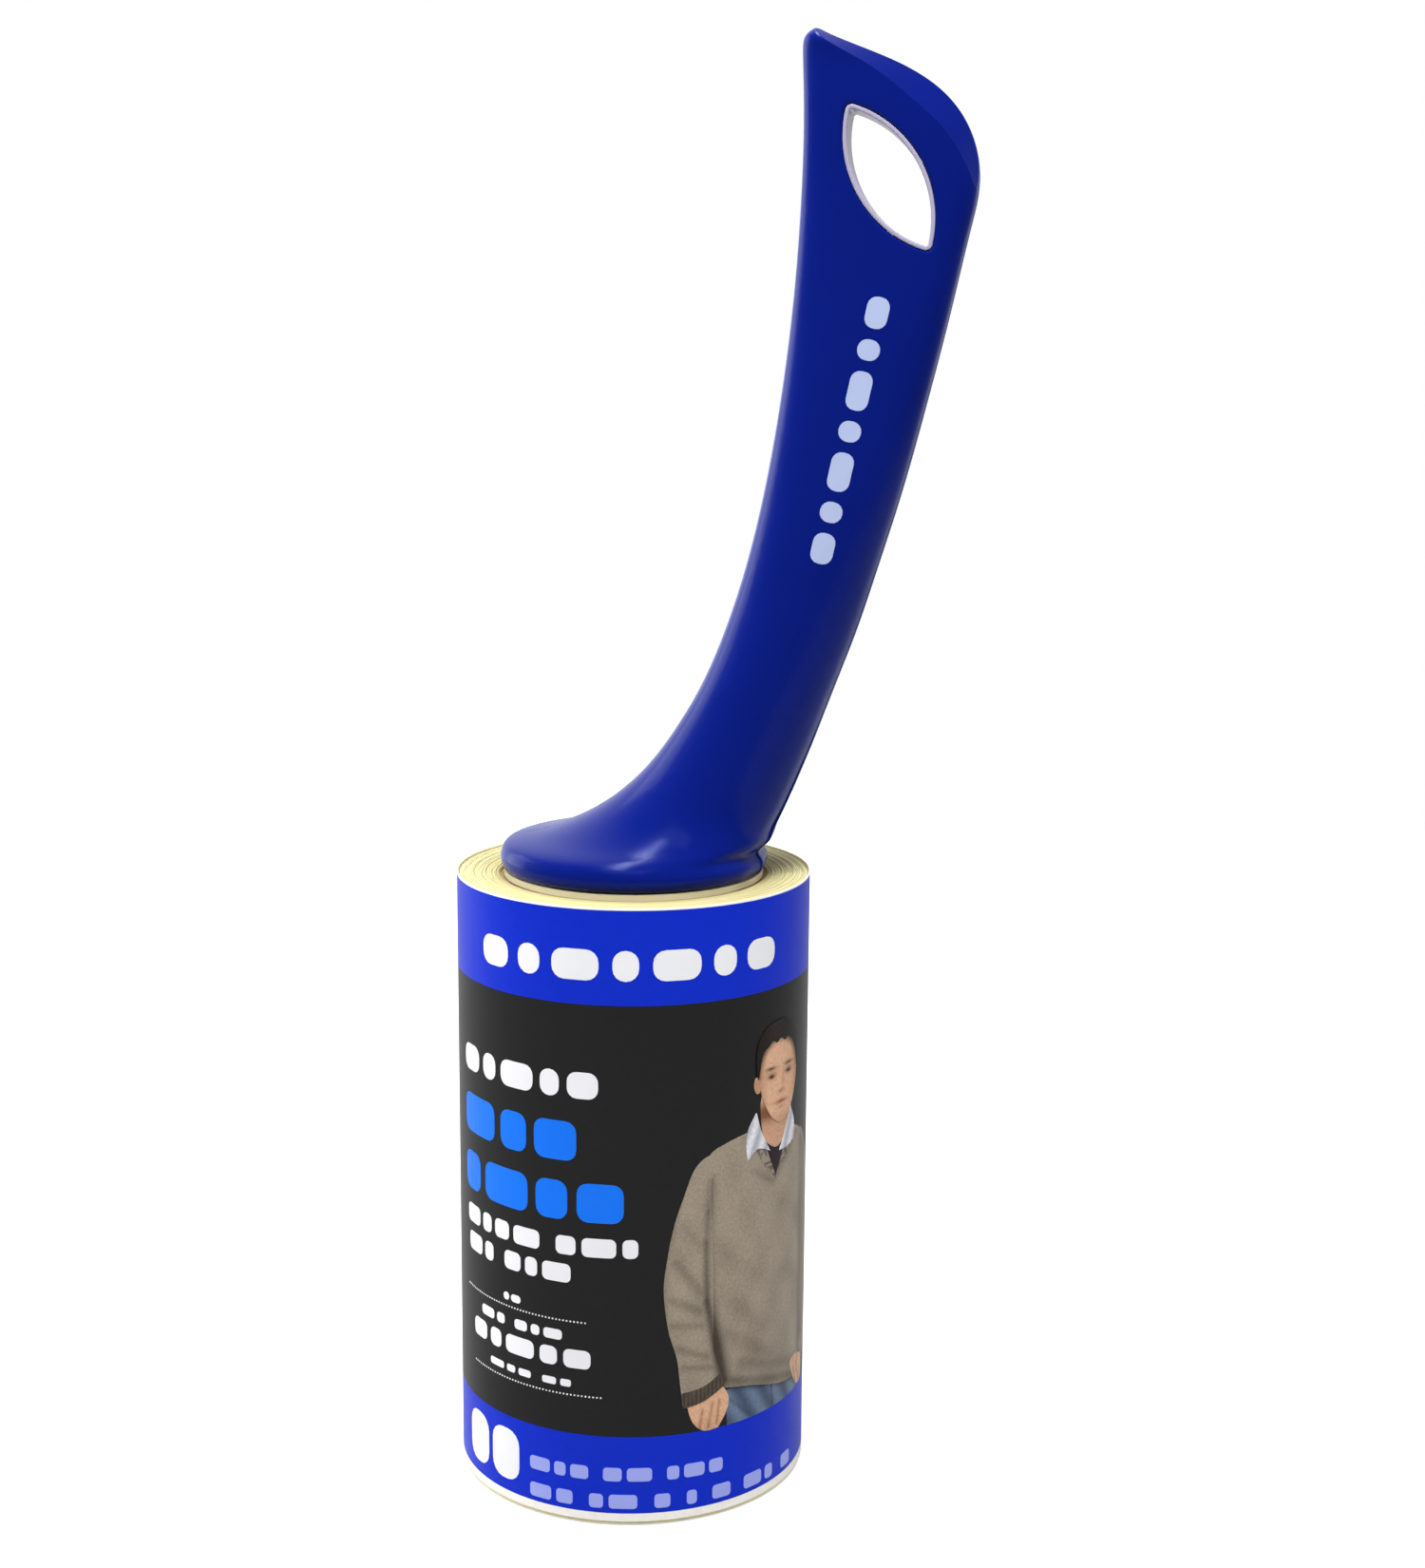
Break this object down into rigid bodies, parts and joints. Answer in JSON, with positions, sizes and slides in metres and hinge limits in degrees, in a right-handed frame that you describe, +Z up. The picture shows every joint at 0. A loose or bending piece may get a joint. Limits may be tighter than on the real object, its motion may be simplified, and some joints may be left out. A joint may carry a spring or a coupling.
{
  "type": "lint roller",
  "caption": "Hand lint roller: a wound roll of adhesive sheets in a printed wrap turns on a spool and axle under a slim curved handle with a leaf-shaped hang hole.",
  "frame": {"origin": "centre of the roll's lower end, on the roll's axis", "axes": "+Z up along the roll's axis towards the handle; the handle leans towards +X in the XZ plane; -Y is the front, with the wrap's printed panel"},
  "size_m": [0.0824, 0.0578, 0.2336],
  "materials": {
    "handle_plastic": "gloss",
    "liner_plastic": "gloss",
    "spool_plastic": "satin",
    "axle_plastic": "satin",
    "clip_steel": "satin",
    "washer_plastic": "satin",
    "cardboard_core": "matte",
    "paper_roll": "matte",
    "printed_wrap": "gloss"
  },
  "bodies": {
    "refill": {"core_tube": "cardboard_core", "sheet_roll": "paper_roll", "printed_wrap": "printed_wrap"},
    "spool": {"spool_cage": "spool_plastic", "spool_end_cap": "spool_plastic"},
    "handle": {"handle_front_shell": "handle_plastic", "handle_back_shell": "handle_plastic", "hang_hole_liner": "liner_plastic", "axle": "axle_plastic", "retaining_clip": "clip_steel", "thrust_washer_upper": "washer_plastic", "thrust_washer_lower": "washer_plastic"}
  },
  "joints": [
    {"name": "refill_pull_off", "type": "slide", "parent": "refill", "child": "spool", "axis": [0, 0, 1], "range_m": [0, 0.11]},
    {"name": "roller_spin", "type": "hinge", "parent": "spool", "child": "handle", "pos_m": [0, 0, 0.1021], "axis": [0, 0, 1], "continuous": true}
  ]
}
